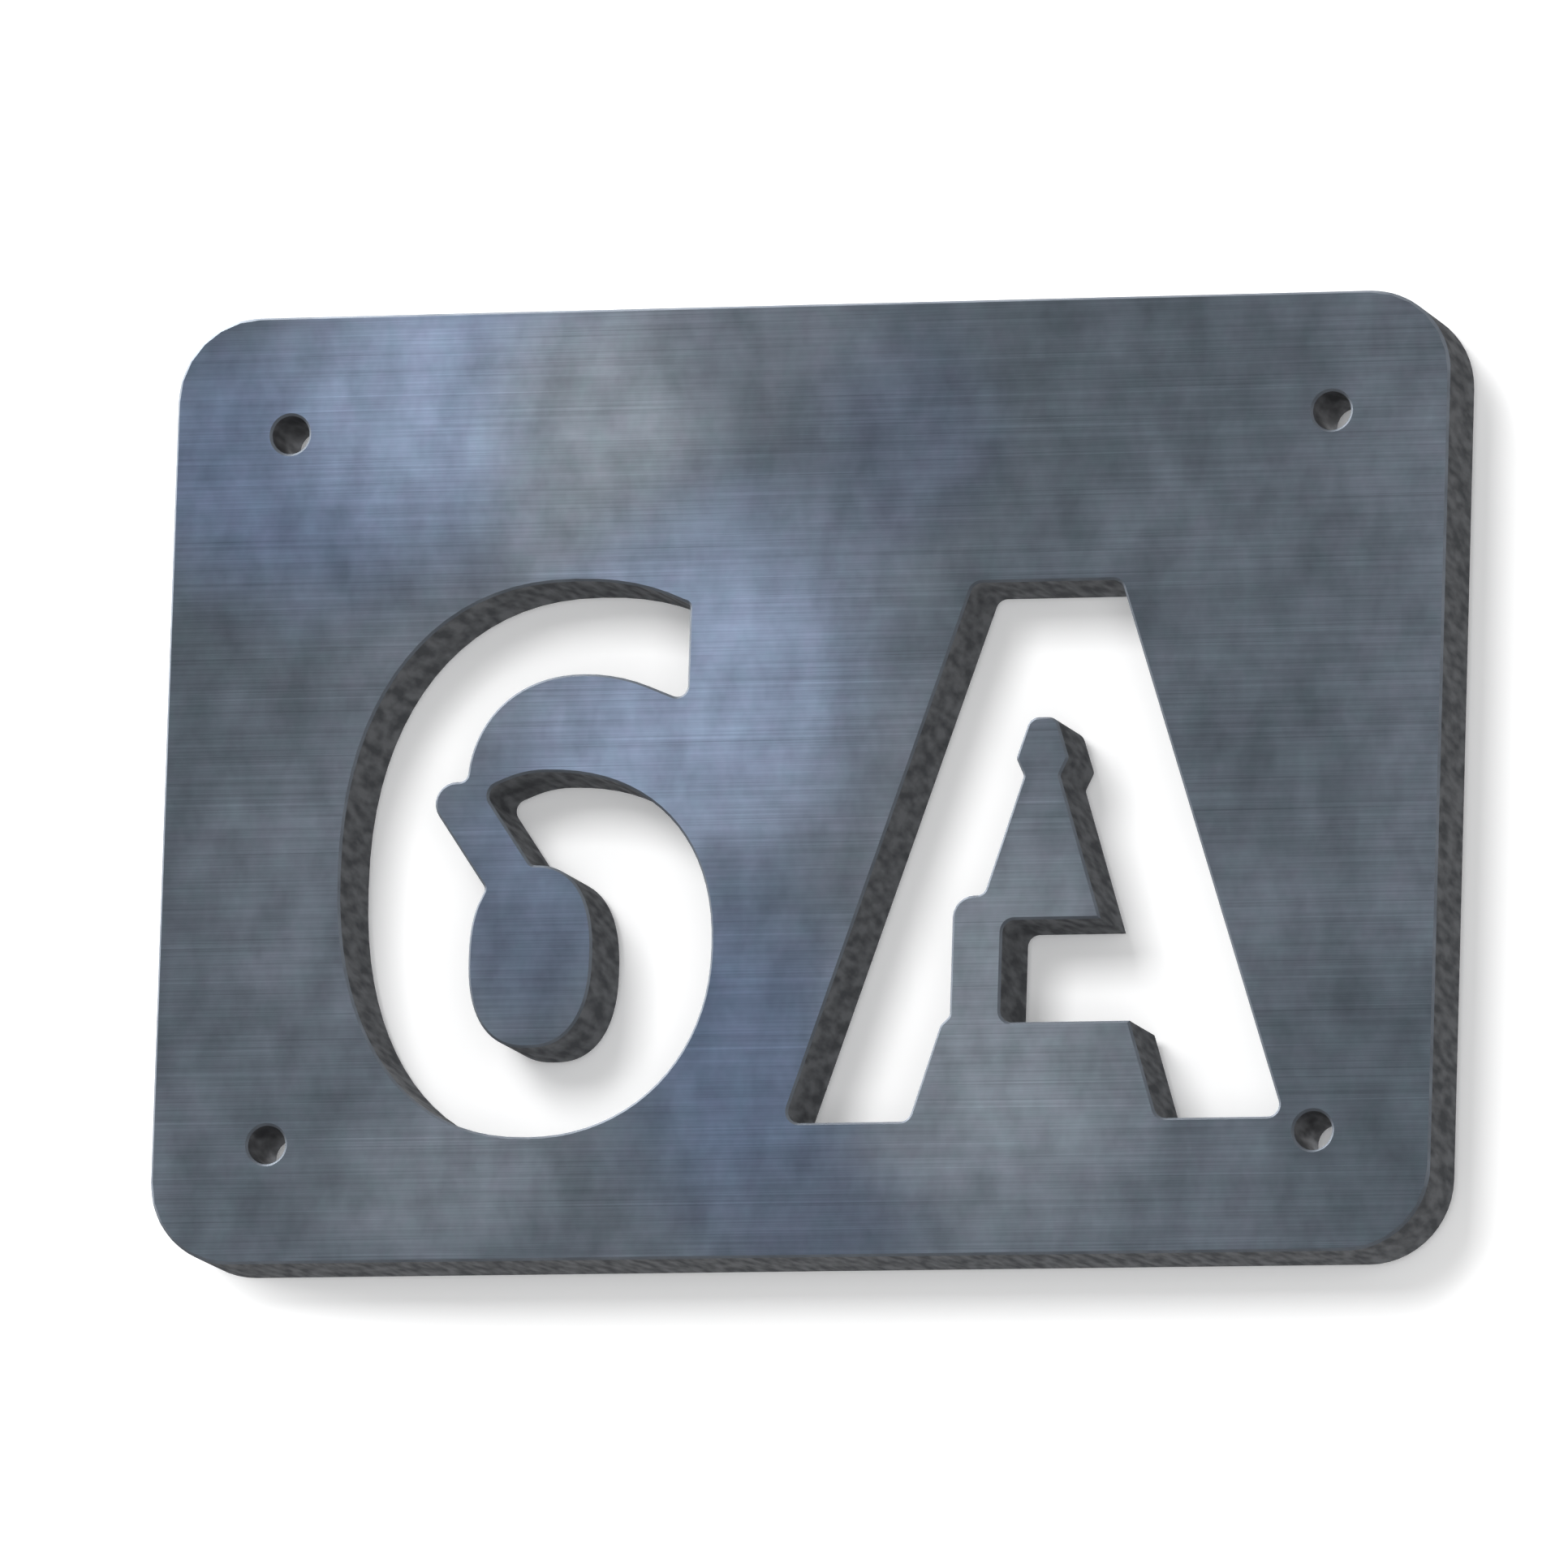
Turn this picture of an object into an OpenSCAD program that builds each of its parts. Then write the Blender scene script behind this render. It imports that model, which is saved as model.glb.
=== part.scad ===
// House number plate
// A thick steel plate with its number cut right through it as stencil figures.
// Every figure keeps its counter on a bridge of metal, so the plate stays one piece.
// It hangs upright on a wall: the front looks towards -Y, the back lies on y = 0,
// and the origin is the middle of the back.

/* [Plate] */
// Width of the plate
plate_w = 220; // [180:1:300]
// Height of the plate
plate_h = 160; // [130:1:220]
// Thickness of the plate
plate_t = 16; // [8:0.5:25]
// Radius of the four outer corners
corner_r = 14; // [4:0.5:18]
// Width of the fine 45 degree bevel on every front edge
bevel_w = 0.4; // [0.2:0.1:0.8]

/* [Screw holes] */
// Diameter of the four screw holes
hole_d = 6.5; // [4:0.1:8]
// Distance from the plate's edges to the middle of a screw hole
hole_inset = 20; // [19:0.5:21]

/* [Figures] */
// Height of the figures, without the overshoot of the round ones
figure_h = 90; // [60:1:90]
// Width of the metal bridges that hold the counters
bridge_w = 8.6; // [7:0.2:10]
// Fullness of the round strokes, where 2 is an ellipse and more is squarer
fullness = 2.25; // [2:0.05:2.4]

/* [Hidden] */

// Middles of the screw holes, to either side of the middle of the plate
hole_x = plate_w / 2 - hole_inset;
hole_y = plate_h / 2 - hole_inset;
// Height at which the figures are drawn, and their foot below the middle of the plate
drawn_h = 90;
foot = -57.6;
head = foot + drawn_h;
// How far round strokes run past the straight ones
overshoot = 1.7;
// Corner radii of the figures: the usual one, a tight one and the tightest
soft = 2;
tight = 1.2;
crisp = 1;

arc_step = 4.5;      // angle between the points of a long curve
fillet_step = 15;    // angle between the points of a small corner
over = 0.1;          // how far a cutter runs past the face that it cuts
$fn = 72;

// Geometry helpers

function unit(v) = v / norm(v);
function item(list, i) = list[(i + len(list)) % len(list)];
function xy(p) = [p[0], p[1]];
function radius(p) = len(p) > 2 ? p[2] : 0;

// Turn from one direction to another, in the range -180 to 180
function turn(from, to) = ((to - from + 540) % 360) - 180;

// Arc that replaces the corner b between a and c
function fillet(a, b, c, r) =
    let (
        u = unit(a - b),
        v = unit(c - b),
        half = acos(u * v) / 2,
        mid = b + unit(u + v) * r / sin(half),
        start = b + u * r / tan(half) - mid,
        stop = b + v * r / tan(half) - mid,
        from = atan2(start[1], start[0]),
        sweep = turn(from, atan2(stop[1], stop[0])),
        steps = max(2, ceil(abs(sweep) / fillet_step))
    )
    [for (i = [0:steps]) mid + r * [cos(from + sweep * i / steps), sin(from + sweep * i / steps)]];

// Closed outline through corners [x, y, radius], where a corner without a radius stays sharp
function rounded(corners) = [
    for (i = [0:len(corners) - 1])
        let (b = item(corners, i), r = radius(b))
        each r > 0
            ? fillet(xy(item(corners, i - 1)), xy(b), xy(item(corners, i + 1)), r)
            : [xy(b)]
];

// Curve about a centre from one angle to another, without its last point
function bow(centre, rx, ry, full, from, to) =
    let (steps = ceil(abs(to - from) / arc_step))
    [for (i = [0:steps - 1])
        let (a = from + (to - from) * i / steps)
        centre + [
            rx * sign(cos(a)) * pow(abs(cos(a)), 2 / full),
            ry * sign(sin(a)) * pow(abs(sin(a)), 2 / full)
        ]];

// Outline moved outwards by d, for an outline that runs counter-clockwise
function grown(p, d) = [
    for (i = [0:len(p) - 1])
        let (
            e = unit(p[i] - item(p, i - 1)),
            f = unit(item(p, i + 1) - p[i]),
            m = [e[1] + f[1], -e[0] - f[0]]
        )
        p[i] + d * m / (1 + e * f)
];

function mirrored(p, axis) = [for (i = [len(p) - 1:-1:0]) concat([2 * axis - p[i][0], p[i][1]],
    len(p[i]) > 2 ? [p[i][2]] : [])];

// Figure 6: stem and bowl in one stroke, cut once where the bridge crosses the bowl

six_left = -78.7;        // leftmost point of the stem
six_left_y = -14.5;
six_top_x = -39.3;       // highest point of the arm
arm_rx = 41.5;           // half width of the curve on the arm's upper side, and where it ends
arm_end_angle = 66;
six_foot_x = -44.8;      // lowest point of the bowl
six_right = -13.9;       // rightmost point of the bowl
six_right_y = -28;
six_right_full = 2.12;   // fullness of the bowl's lower right
six_end = -19.35;        // straight end of the arm
six_end_top = 29.9;
six_end_foot = 13.4;
tip_r = 1.8;             // radius below the arm's end
arm_x = -37.5;           // highest point of the arm's underside
arm_y = 18.4;
arm_r = 30;              // radius right of that point, and where the curve ends
arm_in_end_angle = 63;
arm_in_y = -1.1;         // middle of the curve left of that point, where it starts, and its fullness
arm_in_start_angle = 168;
arm_in_full = 2.2;
stem_in = -57.2;         // inner side of the stem
bowl_x = -43.7;          // highest point of the bowl
bowl_y = 2;
bowl_r = 17.5;           // radius of the bowl's top, left of its highest point, and where it ends
bowl_end_angle = 114;
eye = [-45.2, -29];      // middle of the counter, and its half width and height
eye_rx = 10.7;
eye_ry = 15.35;
eye_full = 2.4;
eye_start_angle = 84;    // where the counter's curve starts and ends at the bridge
eye_end_angle = -216;
lean = 55.4;             // slope of the bridge
bridge_mid = [-54.05, -8.85];
bridge_top_y = -0.9;     // where its upper side leaves the bowl's top
bridge_foot_y = -17.5;   // and its lower side the counter
knee_y = 0.6;            // top of the shoulder where the bridge leaves the stem
knee_r = 3.6;
nook_r = 1.5;            // radius beside that shoulder

// Point on one side of the leaning bridge at height y
function bridge_at(side, y) =
    let (p = bridge_mid + side * bridge_w / 2 * [sin(lean), cos(lean)])
    [p[0] - (y - p[1]) / tan(lean), y];

function six() = rounded(concat(
    [[six_end, six_end_foot, tip_r], [six_end, six_end_top, crisp]],
    bow([six_top_x, six_left_y], arm_rx, head + overshoot - six_left_y, fullness, arm_end_angle, 90),
    bow([six_top_x, six_left_y], six_top_x - six_left, head + overshoot - six_left_y, fullness, 90, 180),
    bow([six_foot_x, six_left_y], six_foot_x - six_left, six_left_y - foot + overshoot, fullness, 180, 270),
    bow([six_foot_x, six_right_y], six_right - six_foot_x, six_right_y - foot + overshoot,
        six_right_full, 270, 360),
    bow([bowl_x, six_right_y], six_right - bowl_x, bowl_y - six_right_y, fullness, 0, 90),
    bow([bowl_x, bowl_y - bowl_r], bowl_r, bowl_r, 2, 90, bowl_end_angle),
    [concat(bridge_at(1, bridge_top_y), soft), concat(bridge_at(1, eye[1] + eye_ry), tight)],
    bow(eye, eye_rx, eye_ry, eye_full, eye_start_angle, eye_end_angle),
    [concat(bridge_at(-1, bridge_foot_y), tight), concat(bridge_at(-1, knee_y), knee_r)],
    [[stem_in, knee_y, nook_r]],
    bow([arm_x, arm_in_y], arm_x - stem_in, arm_y - arm_in_y, arm_in_full, arm_in_start_angle, 90),
    bow([arm_x, arm_y - arm_r], arm_r, arm_r, 2, 90, arm_in_end_angle)
));

// Letter A: two legs and a bar, which stops short at an upright bridge

a_mid = 42.15;           // line of symmetry
a_slope = 0.334;         // sideways run of a leg's outer side for each unit of height
a_in_slope = 0.315;      // the same for its inner side
a_half = 23.5;           // half width over the outer sides at height 0
a_in_half = 3.1;         // half width over the inner sides at height 0
bar_top = -24.2;
bar_foot = -41.3;
step_high = 1.2;         // the bridge's foot lies this far above the bar's, and the leg's below it
step_low = 0.3;
bridge_x = 31.8;         // middle of the upright bridge
shoulder_y = -20;        // where the bridge joins the counter, and the radius of that corner
shoulder_r = 1.7;
neck_y = -0.15;          // narrowest point of the counter, below its head
cheek_y = 2.8;
cheek_half = 4.5;
crown_y = 9.65;
crown_half = 2.25;

function a_out(side, y) = [a_mid + side * (a_half - a_slope * y), y];
function a_in(side, y) = [a_mid + side * (a_in_half - a_in_slope * y), y];

// Left half of the counter's head, from the neck up to the crown
crown = [
    [a_mid - a_in_half, neck_y, crisp],
    [a_mid - cheek_half, cheek_y, crisp],
    [a_mid - crown_half, crown_y, soft]
];

function letter_a() = rounded(concat(
    [concat(a_out(1, head), soft), concat(a_out(-1, head), soft), concat(a_out(-1, foot), soft)],
    [concat(a_in(-1, foot), soft), concat(a_in(-1, bar_foot - step_low), tight)],
    [[bridge_x - bridge_w / 2, bar_foot + step_high, crisp]],
    [[bridge_x - bridge_w / 2, shoulder_y, knee_r], concat(a_in(-1, shoulder_y), shoulder_r)],
    crown,
    mirrored(crown, a_mid),
    [a_in(1, bar_top), [bridge_x + bridge_w / 2, bar_top, soft]],
    [[bridge_x + bridge_w / 2, bar_foot, soft], a_in(1, bar_foot)],
    [concat(a_in(1, foot), soft), concat(a_out(1, foot), soft)]
));

// Size of the figures: as asked for, unless a small plate leaves them less room

hole_web = 1.3;          // least metal between a figure and a screw hole
edge_web = 8;            // and between a figure and the foot of the plate
room_x = hole_x - hole_d / 2 - bevel_w - hole_web;
room_y = plate_h / 2 - edge_web;
scale_f = min(figure_h / drawn_h, room_x / a_out(1, foot)[0], room_y / (overshoot - foot));

// Solids, drawn lying down with the front face up

// Solid through a stack of outlines with the same number of points
module skin(outlines, heights) {
    n = len(outlines[0]);
    top = len(outlines) - 1;
    polyhedron(
        points = [for (k = [0:top]) for (p = outlines[k]) [p[0], p[1], heights[k]]],
        faces = concat(
            [[for (i = [0:n - 1]) i]],
            [[for (i = [n - 1:-1:0]) top * n + i]],
            [for (k = [0:top - 1]) for (i = [0:n - 1])
                let (a = k * n + i, b = k * n + (i + 1) % n)
                [a, a + n, b + n, b]]
        )
    );
}

// Cutter for one figure: straight walls that flare at the front to leave the fine bevel
module figure_cut(outline) {
    p = scale_f * outline;
    skin([p, p, grown(p, bevel_w + over)], [-over, plate_t - bevel_w, plate_t + over]);
}

// Cutter for a screw hole, with the same bevel at the front
module screw_hole() {
    translate([0, 0, -over]) cylinder(d = hole_d, h = plate_t + 2 * over);
    translate([0, 0, plate_t - bevel_w])
        cylinder(r1 = hole_d / 2, r2 = hole_d / 2 + bevel_w + over, h = bevel_w + over);
}

function blank_corners() = [
    for (s = [[1, 1], [-1, 1], [-1, -1], [1, -1]])
        [s[0] * plate_w / 2, s[1] * plate_h / 2, corner_r]
];

// Plain plate with rounded corners and a bevel round its front
module blank() {
    rim = rounded(blank_corners());
    intersection() {
        linear_extrude(plate_t) union() {
            square([plate_w, plate_h - 2 * corner_r], center = true);
            square([plate_w - 2 * corner_r, plate_h], center = true);
            for (x = [-1, 1], y = [-1, 1])
                translate([x * (plate_w / 2 - corner_r), y * (plate_h / 2 - corner_r)])
                    circle(corner_r);
        }
        skin([grown(rim, plate_t - bevel_w + over), grown(rim, -bevel_w - over)], [-over, plate_t + over]);
    }
}

module plate() {
    color("slategray")
    rotate([90, 0, 0])
    difference() {
        blank();
        figure_cut(six());
        figure_cut(letter_a());
        for (x = [-1, 1], y = [-1, 1])
            translate([x * hole_x, y * hole_y, 0])
                screw_hole();
    }
}

plate();
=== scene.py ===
"""House number plate: brushed front, bare bevels, dark cut walls and a plain white stage.

The plate hangs upright with its front towards -Y and its back on y = 0. Patterns are in
millimetres, everything else is in metres.
"""

import math

import bmesh
import bpy
from bpy.props import FloatProperty, FloatVectorProperty, PointerProperty
from bpy.types import Operator, Panel, PropertyGroup
from mathutils import Euler, Matrix, Vector


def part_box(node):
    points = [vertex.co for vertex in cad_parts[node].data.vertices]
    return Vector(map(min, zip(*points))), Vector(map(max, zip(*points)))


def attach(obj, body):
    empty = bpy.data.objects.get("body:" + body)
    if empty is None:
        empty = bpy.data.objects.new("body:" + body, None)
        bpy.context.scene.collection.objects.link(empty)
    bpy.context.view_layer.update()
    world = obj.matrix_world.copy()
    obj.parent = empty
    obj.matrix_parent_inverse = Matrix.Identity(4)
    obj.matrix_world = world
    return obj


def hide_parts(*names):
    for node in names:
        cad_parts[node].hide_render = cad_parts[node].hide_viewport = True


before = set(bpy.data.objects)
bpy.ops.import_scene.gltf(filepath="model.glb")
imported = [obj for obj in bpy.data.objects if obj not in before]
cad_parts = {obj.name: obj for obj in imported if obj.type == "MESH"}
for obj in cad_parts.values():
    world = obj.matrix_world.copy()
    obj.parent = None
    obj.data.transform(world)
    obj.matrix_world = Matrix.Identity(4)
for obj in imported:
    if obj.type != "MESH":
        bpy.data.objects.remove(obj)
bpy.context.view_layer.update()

bl_info = {
    "name": "House Number Plate",
    "version": (1, 0, 0),
    "blender": (4, 5, 0),
    "location": "View3D > Sidebar > House Plate",
    "description": "Finishes a stencil-cut steel house number plate and sets up its stage",
    "category": "Add Mesh",
}

PLATE_LOW, PLATE_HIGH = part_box("plate")
MIDDLE = (PLATE_LOW + PLATE_HIGH) / 2

WELD = 1e-6                      # vertices closer than this are one
CREASE = math.radians(30)        # edges sharper than this stay crisp
FLAT = 0.9                       # a face this square to the Y axis is front or back
SLOPING = 0.3                    # and one at least this much turned to the front is bevel
HOLE_INSET = 0.020               # screw holes lie this far in from the plate's edges
HOLE_REACH = 0.005               # and their walls are nearer than this to their middles

# Finishes, in the order in which the plate holds them
FRONT, BEVEL, CUT_WALL, DRILLED_WALL, BACK = range(5)

WHITE = (1, 1, 1, 1)
TO_MM = 1000

# Sizes of the clouds, mottles, pits and specks in mm
DRIFT_SIZE = 30                  # clouds that push the patches below about
DRIFT_REACH = 9                  # and how far
CLOUD_SIZE = 44
HUE_SIZE = 5
MOTTLE_SIZE = (7, 7, 9)
WEAR_SIZE = 6
PIT_SIZE = (1.6, 5.5, 1.6)
SCALE_SIZE = 26
SPECK_SIZE = 1.6

# How much darker and lighter they make the front, and how rough its strokes are
MOTTLE_LIGHT = (0.77, 1.2)
STROKE_LIGHT = (0.82, 1.18)
SCRATCH_LIGHT = (0.84, 1.18)
FRONT_ROUGHNESS = (0.36, 0.46)

# Patches of tone on the brushed front: middle and reach in mm from the middle of the plate, turn in
# degrees, the shade that they lean to and how strongly. The sheen patches are painted sheen: light
# on the front painted into its colour.
PATCHES = (
    # name, x, z, reach x, reach z, turn, shade, strength
    ("left dusk", -108, 18, 42, 34, 0, "dusk", 0.9),
    ("top right dusk", 50, 66, 58, 38, -10, "dusk", 0.9),
    ("right dusk", 88, 12, 34, 60, 0, "dusk", 0.6),
    ("right foot dusk", 104, -52, 38, 44, 0, "dusk", 0.95),
    ("upper left blue", -92, 54, 48, 34, 20, "blue", 0.75),
    # painted sheen: light on the upper left of the front, painted as a paler blue patch
    ("upper left sheen", -62, 70, 40, 42, 25, "painted_sheen", 0.9),
    ("grey bloom", -34, 60, 30, 36, 0, "bloom", 0.95),
    ("top slate", -6, 76, 28, 24, 0, "slate", 0.9),
    # painted sheen: a band of light across the middle of the front, painted as a paler blue patch
    ("middle sheen", -18, 14, 40, 52, 35, "painted_sheen", 0.87),
    ("inner blue", -48, -18, 26, 34, 0, "blue", 0.45),
    ("lower blue", -8, -46, 32, 44, 0, "blue", 0.7),
    ("foot navy", 6, -74, 26, 16, 0, "navy", 0.8),
    ("top navy", 16, 58, 22, 30, 0, "navy", 0.7),
    ("lower bloom", 38, -42, 36, 46, -12, "bloom", 0.72),
    ("left foot bloom", -62, -66, 34, 20, 0, "bloom", 0.35),
)
PATCH_CORE = 0.8                 # a patch is full from this share of the way to its middle on

LAMP_DISTANCE = 1.5
LAMPS = (
    # name of its share in the settings, azimuth and elevation in degrees, size, shows in steel
    ("key", -11, 17, 0.5, False),
    ("fill", 17, -10, 0.8, True),
    ("rim", -80, 50, 0.8, True),
    ("side", -77, 18, 0.8, True),
)

WALL_REACH = 1.0                 # half the width of the white wall
FLOOR_REACH = 6.0                # and of the floor
WALL_GLOW = 0.14
FLOOR_TONE = 0.4
FLOOR_GLOW = 0.6


def shade(red, green, blue):
    """Linear colour from display values of 0 to 255."""
    def linear(value):
        value /= 255
        return value / 12.92 if value <= 0.04045 else ((value + 0.055) / 1.055) ** 2.4
    return tuple(linear(value) for value in (red, green, blue))


def colour(name, description, default):
    """Colour property of the sidebar."""
    return FloatVectorProperty(
        name=name, description=description, subtype="COLOR", size=3, min=0, max=1, default=default
    )


class SteelSettings(PropertyGroup):
    """Colours and grain of the steel."""

    slate: colour("Slate", "Usual tone of the brushed front", shade(102, 109, 119))
    dusk: colour("Dusk", "Darkest clouds of the front", shade(80, 88, 96))
    navy: colour("Navy", "Dark blue clouds of the front", shade(86, 95, 111))
    blue: colour("Blue", "Mid blue clouds of the front", shade(96, 110, 135))
    # Painted sheen: a paler blue tone that paints the light falling on the brushed front into its
    # colour
    painted_sheen: colour("Sheen", "Light blue sheen of the front", shade(136, 150, 174))
    bloom: colour("Bloom", "Pale grey clouds of the front", shade(130, 138, 147))
    green_tint: colour("Green Tint", "Cool mottles of the front", (0.95, 1.0, 0.98))
    rose_tint: colour("Rose Tint", "Warm mottles of the front", (1.0, 0.96, 0.98))
    bare: colour("Bare Edge", "Bevel where the bare steel shows", shade(112, 118, 126))
    wall_dark: colour("Wall Pits", "Dark pits of the cut walls", shade(90, 92, 95))
    wall_light: colour("Wall Scale", "Lighter scale of the cut walls", shade(124, 126, 129))
    drilled: colour("Drilled Wall", "Bare steel inside the screw holes", shade(108, 110, 115))
    back: colour("Back", "Tone of the plain back", shade(100, 104, 110))
    grain: FloatProperty(
        name="Grain", description="Thickness of a brush stroke in mm", default=0.2, min=0.05, max=1
    )
    stroke: FloatProperty(
        name="Stroke", description="Length of a brush stroke in mm", default=34, min=2, max=60
    )


class StageSettings(PropertyGroup):
    """Camera, lamps and surroundings."""

    azimuth: FloatProperty(
        name="Azimuth", description="How far the camera stands to the right of the plate",
        subtype="ANGLE", unit="ROTATION", default=math.radians(16.6)
    )
    elevation: FloatProperty(
        name="Elevation", description="How far the camera stands above the plate",
        subtype="ANGLE", unit="ROTATION", default=math.radians(-9.5)
    )
    roll: FloatProperty(
        name="Roll", description="How far the camera leans", subtype="ANGLE", unit="ROTATION",
        default=math.radians(1.75)
    )
    lens: FloatProperty(
        name="Lens", description="Focal length", unit="CAMERA", default=500, min=50
    )
    view_width: FloatProperty(
        name="View Width", description="Width of the picture at the plate", unit="LENGTH",
        default=0.26, min=0.1
    )
    pan_right: FloatProperty(
        name="Pan Right", description="How far the camera moves to its right", unit="LENGTH",
        default=-0.0043
    )
    pan_up: FloatProperty(
        name="Pan Up", description="How far the camera moves up", unit="LENGTH", default=0.0005
    )
    gap: FloatProperty(
        name="Gap", description="Distance from the plate's back to the white wall",
        unit="LENGTH", default=0.003, min=0.0005
    )
    drop: FloatProperty(
        name="Drop", description="Distance from the plate's middle down to the floor",
        unit="LENGTH", default=1.1, min=0.2
    )
    ambient: FloatProperty(
        name="Ambient", description="Share of the light that comes from all sides", default=0.4
    )
    key: FloatProperty(
        name="Key", description="Share of the light from the upper left lamp", default=0.47
    )
    fill: FloatProperty(
        name="Fill", description="Share of the light from the lamp beside the camera", default=0.25
    )
    rim: FloatProperty(
        name="Rim", description="Share of the light that grazes the front from the upper left",
        default=0.2
    )
    side: FloatProperty(
        name="Side", description="Share of the light that grazes the front from the left",
        default=0.25
    )


def add(tree, kind, inputs=None, **settings):
    """Adds a shader node, sets its properties, and fills or links its sockets."""
    made = tree.nodes.new(kind)
    for name, value in settings.items():
        setattr(made, name, value)
    for name, value in (inputs or {}).items():
        if isinstance(value, bpy.types.NodeSocket):
            tree.links.new(value, made.inputs[name])
        else:
            made.inputs[name].default_value = value
    return made


def new_material(name):
    """Material with an empty node tree, and that tree."""
    material = bpy.data.materials.new(name)
    material.use_nodes = True
    material.node_tree.nodes.clear()
    return material, material.node_tree


def opaque(tone):
    """Colour with full cover."""
    return (*tone, 1)


def dimmed(tone, share):
    """Colour at a share of its brightness."""
    return tuple(share * part for part in tone)


def millimetres(tree):
    """Place on the piece in mm."""
    coordinates = add(tree, "ShaderNodeTexCoord")
    return add(
        tree, "ShaderNodeMapping", {"Vector": coordinates.outputs["Object"], "Scale": (TO_MM,) * 3}
    ).outputs["Vector"]


def noise(tree, place, size, detail=3, roughness=0.5, offset=0):
    """Cloudy value from 0 to 1, whose blots are about size mm in x, y and z.

    The offset keeps clouds of one material from lying on each other.
    """
    size = size if isinstance(size, tuple) else (size,) * 3
    scaled = add(
        tree, "ShaderNodeMapping",
        {"Vector": place, "Location": (offset,) * 3, "Scale": tuple(1 / s for s in size)}
    )
    return add(
        tree, "ShaderNodeTexNoise",
        {"Vector": scaled.outputs["Vector"], "Scale": 1, "Detail": detail, "Roughness": roughness}
    )


def spread(tree, value, low, high, to_low=0, to_high=1, smooth=False):
    """Maps a value from one range to another and holds it there."""
    return add(
        tree, "ShaderNodeMapRange",
        {"Value": value, "From Min": low, "From Max": high, "To Min": to_low, "To Max": to_high},
        interpolation_type="SMOOTHSTEP" if smooth else "LINEAR"
    ).outputs["Result"]


def blend(tree, share, first, second, how="MIX"):
    """Mixes two colours, each a socket or a colour."""
    mixed = add(tree, "ShaderNodeMix", {"Factor": share}, data_type="RGBA", blend_type=how)
    for socket, value in zip((s for s in mixed.inputs if s.type == "RGBA"), (first, second)):
        if isinstance(value, bpy.types.NodeSocket):
            tree.links.new(value, socket)
        else:
            socket.default_value = opaque(value)
    return next(s for s in mixed.outputs if s.type == "RGBA")


def arithmetic(tree, operation, first, second):
    """Sum, product or the like of two values."""
    made = add(tree, "ShaderNodeMath", operation=operation)
    for socket, value in zip(made.inputs, (first, second)):
        if isinstance(value, bpy.types.NodeSocket):
            tree.links.new(value, socket)
        else:
            socket.default_value = value
    return made.outputs["Value"]


def bumped(tree, height, strength, distance):
    """Normal of a surface with that relief, whose distance is in metres."""
    return add(
        tree, "ShaderNodeBump", {"Height": height, "Strength": strength, "Distance": distance}
    ).outputs["Normal"]


def surface(tree, inputs):
    """Principled surface, joined to the output."""
    shader = add(tree, "ShaderNodeBsdfPrincipled", inputs)
    add(tree, "ShaderNodeOutputMaterial", {"Surface": shader.outputs["BSDF"]})


def drifted(tree, place, size, reach):
    """Place, pushed about by up to reach mm so that what is drawn there gets cloudy edges."""
    push = noise(tree, place, size, detail=4, roughness=0.55, offset=31)
    centred = add(
        tree, "ShaderNodeVectorMath", {0: push.outputs["Color"], 1: (0.5, 0.5, 0.5)},
        operation="SUBTRACT"
    )
    scaled = add(
        tree, "ShaderNodeVectorMath", {0: centred.outputs[0], "Scale": 2 * reach}, operation="SCALE"
    )
    return add(
        tree, "ShaderNodeVectorMath", {0: place, 1: scaled.outputs[0]}, operation="ADD"
    ).outputs[0]


def patch(tree, place, x, z, reach_x, reach_z, turn):
    """Soft round or oval patch: 1 in its middle, 0 from its rim on."""
    local = add(
        tree, "ShaderNodeMapping",
        {
            "Vector": place,
            "Location": (x, TO_MM * PLATE_LOW.y, z),
            "Rotation": (0, math.radians(turn), 0),
            "Scale": (reach_x, TO_MM, reach_z),
        },
        vector_type="TEXTURE"
    )
    ball = add(
        tree, "ShaderNodeTexGradient", {"Vector": local.outputs["Vector"]},
        gradient_type="SPHERICAL"
    )
    return spread(tree, ball.outputs["Fac"], 0, PATCH_CORE, smooth=True)


def brush_strokes(tree, place, grain, stroke):
    """Fine and broad horizontal strokes, about 0.5 on average."""
    fine = noise(tree, place, (stroke, stroke, grain), detail=2, roughness=0.6)
    broad = noise(tree, place, (3 * stroke, stroke, 4 * grain), detail=2, roughness=0.6, offset=7)
    return arithmetic(
        tree, "ADD",
        arithmetic(tree, "MULTIPLY", fine.outputs["Fac"], 0.65),
        arithmetic(tree, "MULTIPLY", broad.outputs["Fac"], 0.35)
    )


def single_scratches(tree, place, grain, stroke):
    """A few long strokes that stand out: positive where bright, negative where dark."""
    lines = noise(tree, place, (1.6 * stroke, stroke, grain), detail=0, offset=53)
    bright = spread(tree, lines.outputs["Fac"], 0.68, 0.86)
    dark = spread(tree, lines.outputs["Fac"], 0.32, 0.14)
    return arithmetic(tree, "SUBTRACT", bright, dark)


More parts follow.
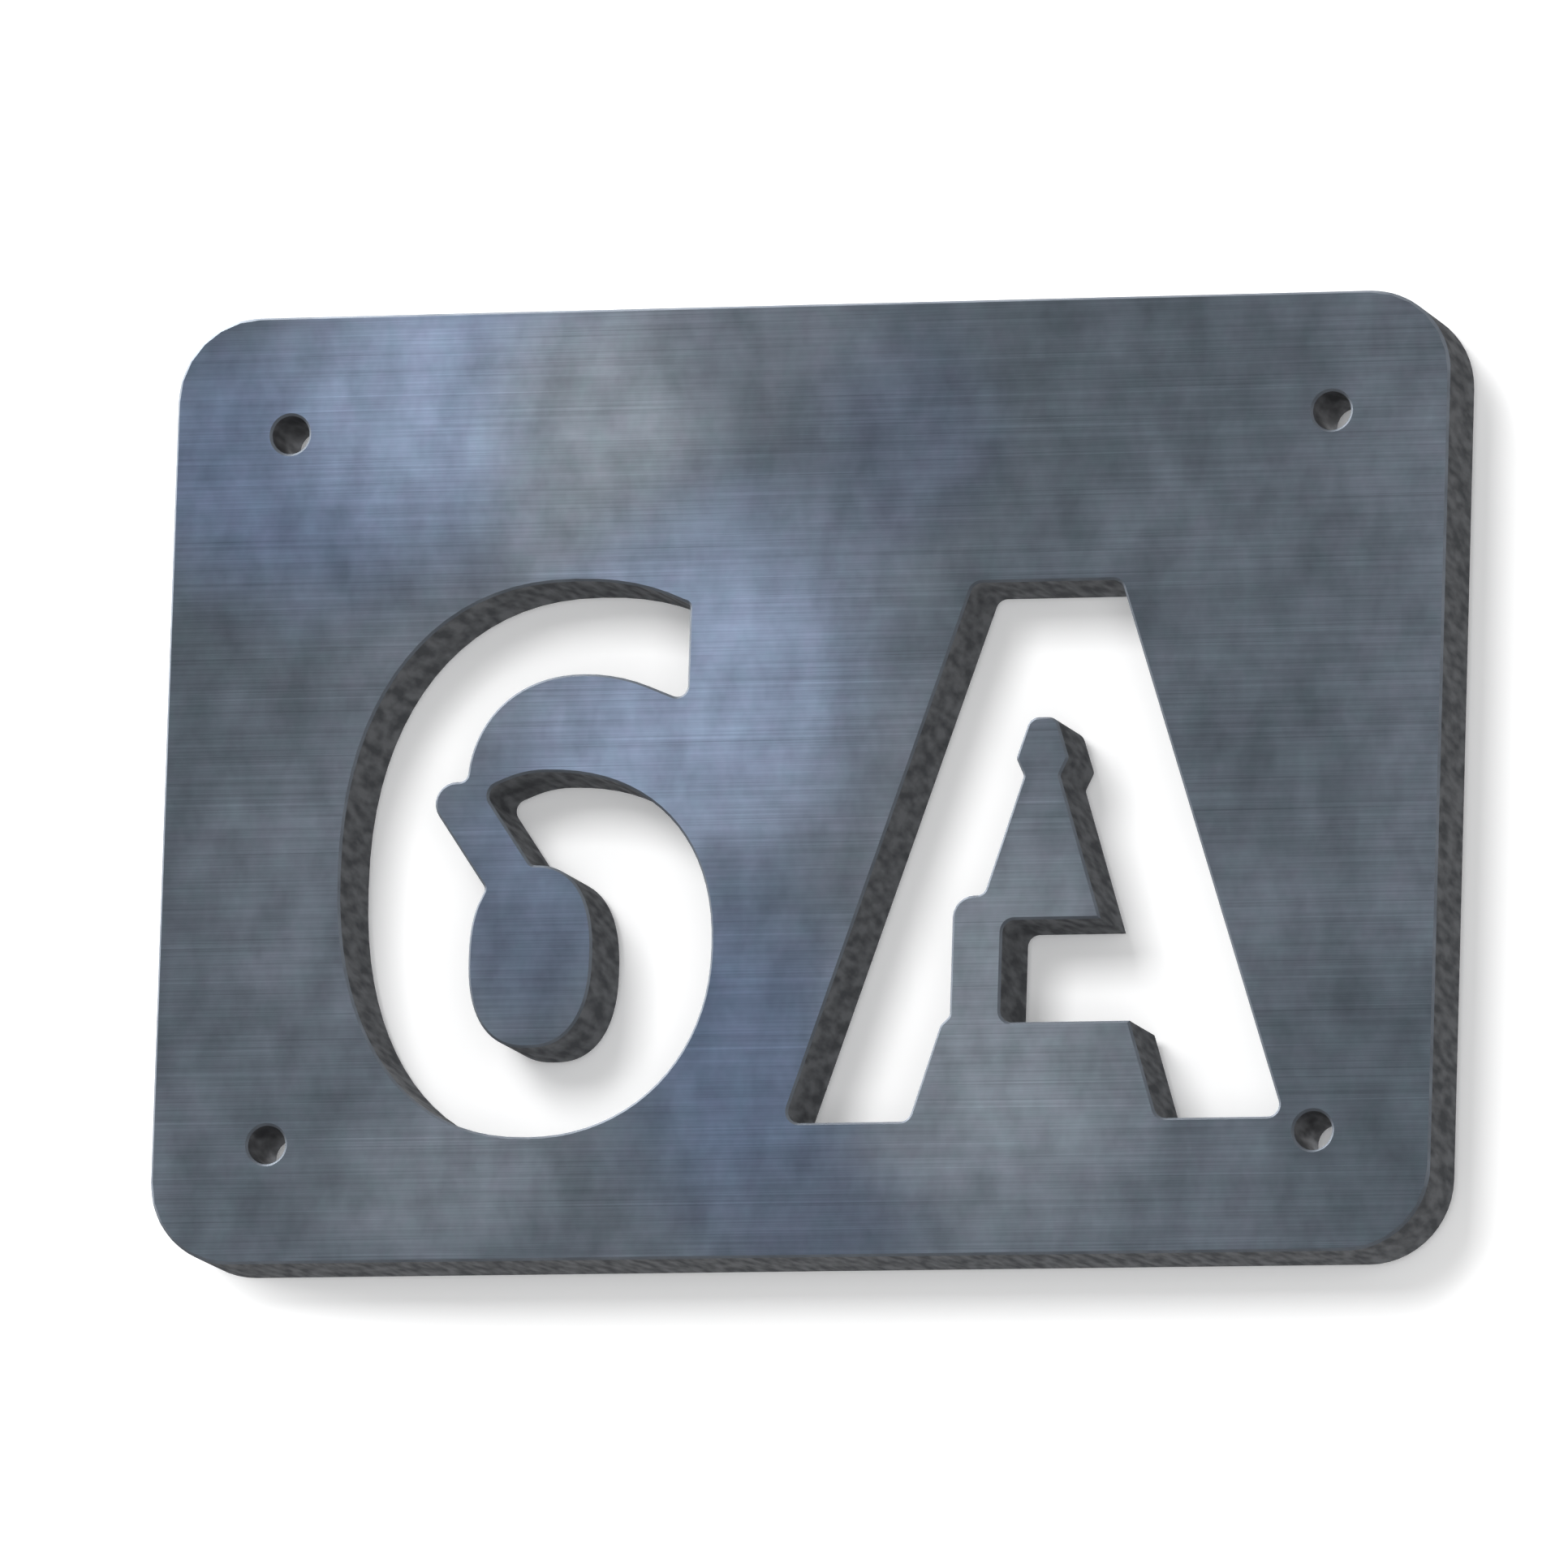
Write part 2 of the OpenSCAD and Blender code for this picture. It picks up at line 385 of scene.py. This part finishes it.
def brushed_front(steel):
    """Horizontally brushed steel with clouds of blue and grey, and a painted sheen of light."""
    material, tree = new_material("brushed_front")
    place = millimetres(tree)
    cloudy = drifted(tree, place, DRIFT_SIZE, DRIFT_REACH)

    clouds = noise(tree, place, CLOUD_SIZE, detail=2, roughness=0.5, offset=3)
    tone = blend(tree, spread(tree, clouds.outputs["Fac"], 0.3, 0.7), steel.dusk, steel.slate)
    # The sheen patches among these paint light into the tone: painted sheen
    for _, x, z, reach_x, reach_z, turn, shade_name, strength in PATCHES:
        mask = patch(tree, cloudy, x, z, reach_x, reach_z, turn)
        tone = blend(
            tree, arithmetic(tree, "MULTIPLY", mask, strength), tone, getattr(steel, shade_name)
        )

    hue = noise(tree, place, HUE_SIZE, detail=3, roughness=0.7, offset=23)
    tint = blend(
        tree, spread(tree, hue.outputs["Fac"], 0.3, 0.7), steel.green_tint, steel.rose_tint
    )
    tone = blend(tree, 1.0, tone, tint, how="MULTIPLY")
    mottle = noise(tree, place, MOTTLE_SIZE, detail=3, roughness=0.55, offset=11)
    strokes = brush_strokes(tree, place, steel.grain, steel.stroke)
    scratches = single_scratches(tree, place, steel.grain, steel.stroke)
    level = arithmetic(
        tree, "MULTIPLY",
        spread(tree, mottle.outputs["Fac"], 0.25, 0.75, *MOTTLE_LIGHT),
        spread(tree, strokes, 0.25, 0.75, *STROKE_LIGHT)
    )
    level = arithmetic(
        tree, "MULTIPLY", level, spread(tree, scratches, -1, 1, *SCRATCH_LIGHT)
    )
    level_colour = add(
        tree, "ShaderNodeCombineColor", {"Red": level, "Green": level, "Blue": level}
    ).outputs["Color"]
    tone = blend(tree, 1.0, tone, level_colour, how="MULTIPLY")

    surface(
        tree,
        {
            "Base Color": tone,
            "Metallic": 1.0,
            "Roughness": spread(tree, strokes, 0.3, 0.7, *FRONT_ROUGHNESS),
            "Anisotropic": 0.5,
            "Anisotropic Rotation": 0.25,
            "Normal": bumped(tree, strokes, 0.25, 0.00004),
        }
    )
    return material


def bare_bevel(steel):
    """Bare steel where the edge was broken, which catches the light from the upper left."""
    material, tree = new_material("bare_bevel")
    place = millimetres(tree)
    wear = noise(tree, place, WEAR_SIZE, detail=4, roughness=0.6)
    tone = blend(
        tree, spread(tree, wear.outputs["Fac"], 0.35, 0.65), dimmed(steel.bare, 0.8), steel.bare
    )
    surface(
        tree,
        {
            "Base Color": tone,
            "Metallic": 1.0,
            "Roughness": spread(tree, wear.outputs["Fac"], 0.35, 0.65, 0.6, 0.5),
        }
    )
    return material


def blotted(tree, place, dark, light):
    """Blots about a millimetre wide that run with the cut: their tone, share and relief."""
    pits = noise(tree, place, PIT_SIZE, detail=2, roughness=0.4)
    share = spread(tree, pits.outputs["Fac"], 0.33, 0.67)
    return blend(tree, share, dark, light), share, bumped(tree, pits.outputs["Fac"], 0.4, 0.0002)


def cut_wall(steel):
    """Charcoal scale on the cut walls."""
    material, tree = new_material("cut_wall")
    tone, share, normal = blotted(tree, millimetres(tree), steel.wall_dark, steel.wall_light)
    surface(
        tree,
        {
            "Base Color": tone,
            "Metallic": 0.0,
            "Specular IOR Level": 0.05,
            "Roughness": spread(tree, share, 0, 1, 0.9, 0.75),
            "Normal": normal,
        }
    )
    return material


def drilled_wall(steel):
    """Dull bare steel inside the screw holes."""
    material, tree = new_material("drilled_wall")
    tone, share, normal = blotted(
        tree, millimetres(tree), dimmed(steel.drilled, 0.6), steel.drilled
    )
    surface(
        tree,
        {
            "Base Color": tone,
            "Metallic": 0.8,
            "Roughness": spread(tree, share, 0, 1, 0.7, 0.55),
            "Normal": normal,
        }
    )
    return material


def plain_back(steel):
    """Unbrushed steel of the back, with soft mill scale."""
    material, tree = new_material("plain_back")
    place = millimetres(tree)
    clouds = noise(tree, place, SCALE_SIZE, detail=5, roughness=0.6)
    specks = noise(tree, place, SPECK_SIZE, detail=2, roughness=0.5, offset=5)
    tone = blend(
        tree, spread(tree, clouds.outputs["Fac"], 0.3, 0.7), dimmed(steel.back, 0.6), steel.back
    )
    tone = blend(
        tree, spread(tree, specks.outputs["Fac"], 0.45, 0.7, to_high=0.4), tone, steel.wall_dark
    )
    surface(
        tree,
        {
            "Base Color": tone,
            "Metallic": 0.6,
            "Roughness": spread(tree, clouds.outputs["Fac"], 0.3, 0.7, 0.62, 0.5),
            "Normal": bumped(tree, specks.outputs["Fac"], 0.3, 0.0001),
        }
    )
    return material


def in_screw_hole(place):
    """Whether a place lies at the wall of a screw hole."""
    across = min(place.x - PLATE_LOW.x, PLATE_HIGH.x - place.x)
    upward = min(place.z - PLATE_LOW.z, PLATE_HIGH.z - place.z)
    return math.hypot(across - HOLE_INSET, upward - HOLE_INSET) < HOLE_REACH


def finish_of(face):
    """Place in the list of finishes."""
    if face.normal.y < -FLAT:
        return FRONT
    if face.normal.y < -SLOPING:
        return BEVEL
    if face.normal.y > FLAT:
        return BACK
    return DRILLED_WALL if in_screw_hole(face.calc_center_median()) else CUT_WALL


def merged_copy(node, name):
    """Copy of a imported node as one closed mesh, with smooth curves and crisp edges.

    Its stored normals go, because they would hide those edges.
    """
    mesh = bpy.data.meshes.new(name)
    bm = bmesh.new()
    bm.from_mesh(node.data)
    bmesh.ops.remove_doubles(bm, verts=bm.verts, dist=WELD)
    for edge in bm.edges:
        edge.smooth = edge.calc_face_angle(0) < CREASE
    for face in bm.faces:
        face.smooth = True
        face.material_index = finish_of(face)
    bm.to_mesh(mesh)
    bm.free()
    stored = mesh.attributes.get("custom_normal")
    if stored is not None:
        mesh.attributes.remove(stored)
    piece = bpy.data.objects.new(name, mesh)
    bpy.context.collection.objects.link(piece)
    return piece


class HOUSEPLATE_OT_plate(Operator):
    """Dress the cut plate in its brushed front, bare bevels, dark walls and plain back"""

    bl_idname = "houseplate.plate"
    bl_label = "Steel Plate"

    def execute(self, context):
        steel = context.scene.house_plate_steel
        piece = merged_copy(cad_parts["plate"], "steel_plate")
        for finish in (brushed_front, bare_bevel, cut_wall, drilled_wall, plain_back):
            piece.data.materials.append(finish(steel))
        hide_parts("plate")
        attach(piece, "root")
        return {"FINISHED"}


def flat_sheet(name, half_size, matrix):
    """Square sheet of the stage, placed by a matrix."""
    mesh = bpy.data.meshes.new(name)
    bm = bmesh.new()
    bmesh.ops.create_grid(bm, x_segments=1, y_segments=1, size=half_size, matrix=matrix)
    bm.to_mesh(mesh)
    bm.free()
    sheet = bpy.data.objects.new(name, mesh)
    bpy.context.collection.objects.link(sheet)
    return sheet


def wall_paint():
    """White that shows from the front alone, so that the plate's back can be seen too."""
    material, tree = new_material("white_wall")
    side = add(tree, "ShaderNodeNewGeometry")
    paint = add(tree, "ShaderNodeBsdfDiffuse", {"Color": WHITE})
    glow = add(tree, "ShaderNodeEmission", {"Color": WHITE, "Strength": WALL_GLOW})
    both = add(tree, "ShaderNodeAddShader", {0: paint.outputs[0], 1: glow.outputs[0]})
    clear = add(tree, "ShaderNodeBsdfTransparent")
    mixed = add(
        tree, "ShaderNodeMixShader",
        {0: side.outputs["Backfacing"], 1: both.outputs[0], 2: clear.outputs[0]}
    )
    add(tree, "ShaderNodeOutputMaterial", {"Surface": mixed.outputs[0]})
    return material


def for_camera_only(sheet):
    """Lets the sheet show in the picture and take shadows, but cast no shadow or light."""
    sheet.visible_diffuse = False
    sheet.visible_glossy = False
    sheet.visible_transmission = False
    sheet.visible_volume_scatter = False
    sheet.visible_shadow = False


def floor_paint():
    """Pale floor that shows near white."""
    material, tree = new_material("pale_floor")
    path = add(tree, "ShaderNodeLightPath")
    paint = add(tree, "ShaderNodeBsdfDiffuse", {"Color": opaque((FLOOR_TONE,) * 3)})
    glow = add(
        tree, "ShaderNodeEmission",
        {"Strength": arithmetic(tree, "MULTIPLY", path.outputs["Is Camera Ray"], FLOOR_GLOW)}
    )
    both = add(tree, "ShaderNodeAddShader", {0: paint.outputs[0], 1: glow.outputs[0]})
    add(tree, "ShaderNodeOutputMaterial", {"Surface": both.outputs[0]})
    return material


def white_world(ambient):
    """World that shows and mirrors white, and gives a share of the light from all sides."""
    world = bpy.data.worlds.new("white_room")
    world.use_nodes = True
    tree = world.node_tree
    tree.nodes.clear()
    path = add(tree, "ShaderNodeLightPath")
    shown = arithmetic(
        tree, "MAXIMUM", path.outputs["Is Camera Ray"],
        arithmetic(
            tree, "MAXIMUM", path.outputs["Is Glossy Ray"], path.outputs["Is Transmission Ray"]
        )
    )
    light = add(tree, "ShaderNodeBackground", {"Color": WHITE, "Strength": ambient})
    white = add(tree, "ShaderNodeBackground", {"Color": WHITE, "Strength": 1})
    mixed = add(
        tree, "ShaderNodeMixShader", {0: shown, 1: light.outputs[0], 2: white.outputs[0]}
    )
    add(tree, "ShaderNodeOutputWorld", {"Surface": mixed.outputs[0]})
    bpy.context.scene.world = world


def towards(azimuth, elevation):
    """Direction from the plate, where azimuth 0 is straight in front of it."""
    return Vector((
        math.sin(azimuth) * math.cos(elevation),
        -math.cos(azimuth) * math.cos(elevation),
        math.sin(elevation),
    ))


def soft_lamp(name, azimuth, elevation, size, share, glints):
    """Square lamp aimed at the plate, which lights a white card there by that share of white."""
    direction = towards(math.radians(azimuth), math.radians(elevation))
    data = bpy.data.lights.new(name, "AREA")
    data.size = size
    data.energy = share * math.pi ** 2 * LAMP_DISTANCE ** 2 / -direction.y
    lamp = bpy.data.objects.new(name, data)
    lamp.location = MIDDLE + direction * LAMP_DISTANCE
    lamp.rotation_euler = direction.to_track_quat("Z", "Y").to_euler()
    lamp.visible_camera = False
    lamp.visible_glossy = glints
    bpy.context.collection.objects.link(lamp)


def long_camera(stage):
    """Camera far off to the lower right, as the photograph looks."""
    back = towards(stage.azimuth, stage.elevation)
    data = bpy.data.cameras.new("camera")
    data.lens = stage.lens
    distance = stage.view_width * stage.lens / data.sensor_width
    camera = bpy.data.objects.new("camera", data)
    turn = back.to_track_quat("Z", "Y") @ Euler((0, 0, stage.roll)).to_quaternion()
    camera.location = MIDDLE + back * distance + turn @ Vector((stage.pan_right, stage.pan_up, 0))
    camera.rotation_euler = turn.to_euler()
    data.clip_end = 4 * distance
    bpy.context.collection.objects.link(camera)
    bpy.context.scene.camera = camera


class HOUSEPLATE_OT_stage(Operator):
    """Set up the white wall, the floor, the lamps and the camera"""

    bl_idname = "houseplate.stage"
    bl_label = "Stage"

    def execute(self, context):
        stage = context.scene.house_plate_stage
        upright = Matrix.Rotation(math.radians(90), 4, "X")
        behind = Matrix.Translation((0, PLATE_HIGH.y + stage.gap, MIDDLE.z))
        wall = flat_sheet("white_wall", WALL_REACH, behind @ upright)
        wall.data.materials.append(wall_paint())
        for_camera_only(wall)
        below = Matrix.Translation((0, 0, MIDDLE.z - stage.drop))
        floor = flat_sheet("pale_floor", FLOOR_REACH, below)
        floor.data.materials.append(floor_paint())
        white_world(stage.ambient)
        for name, azimuth, elevation, size, glints in LAMPS:
            soft_lamp(name, azimuth, elevation, size, getattr(stage, name), glints)
        long_camera(stage)
        context.scene.view_settings.view_transform = "Standard"
        return {"FINISHED"}


class HOUSEPLATE_PT_sidebar(Panel):
    """Buttons and settings of the house number plate"""

    bl_label = "House Plate"
    bl_idname = "HOUSEPLATE_PT_sidebar"
    bl_space_type = "VIEW_3D"
    bl_region_type = "UI"
    bl_category = "House Plate"

    def draw(self, context):
        for operator, settings in (
            (HOUSEPLATE_OT_plate, context.scene.house_plate_steel),
            (HOUSEPLATE_OT_stage, context.scene.house_plate_stage),
        ):
            box = self.layout.box()
            for name in settings.bl_rna.properties.keys():
                if name not in ("rna_type", "name"):
                    box.prop(settings, name)
            box.operator(operator.bl_idname)


CLASSES = (
    SteelSettings,
    StageSettings,
    HOUSEPLATE_OT_plate,
    HOUSEPLATE_OT_stage,
    HOUSEPLATE_PT_sidebar,
)


def register():
    """Adds the settings, the operators and the panel."""
    for cls in CLASSES:
        bpy.utils.register_class(cls)
    bpy.types.Scene.house_plate_steel = PointerProperty(type=SteelSettings)
    bpy.types.Scene.house_plate_stage = PointerProperty(type=StageSettings)


def unregister():
    """Takes them away again."""
    del bpy.types.Scene.house_plate_stage
    del bpy.types.Scene.house_plate_steel
    for cls in reversed(CLASSES):
        bpy.utils.unregister_class(cls)


def main():
    """Builds the plate and its stage."""
    register()
    bpy.ops.houseplate.plate()
    bpy.ops.houseplate.stage()


if __name__ == "__main__":
    main()
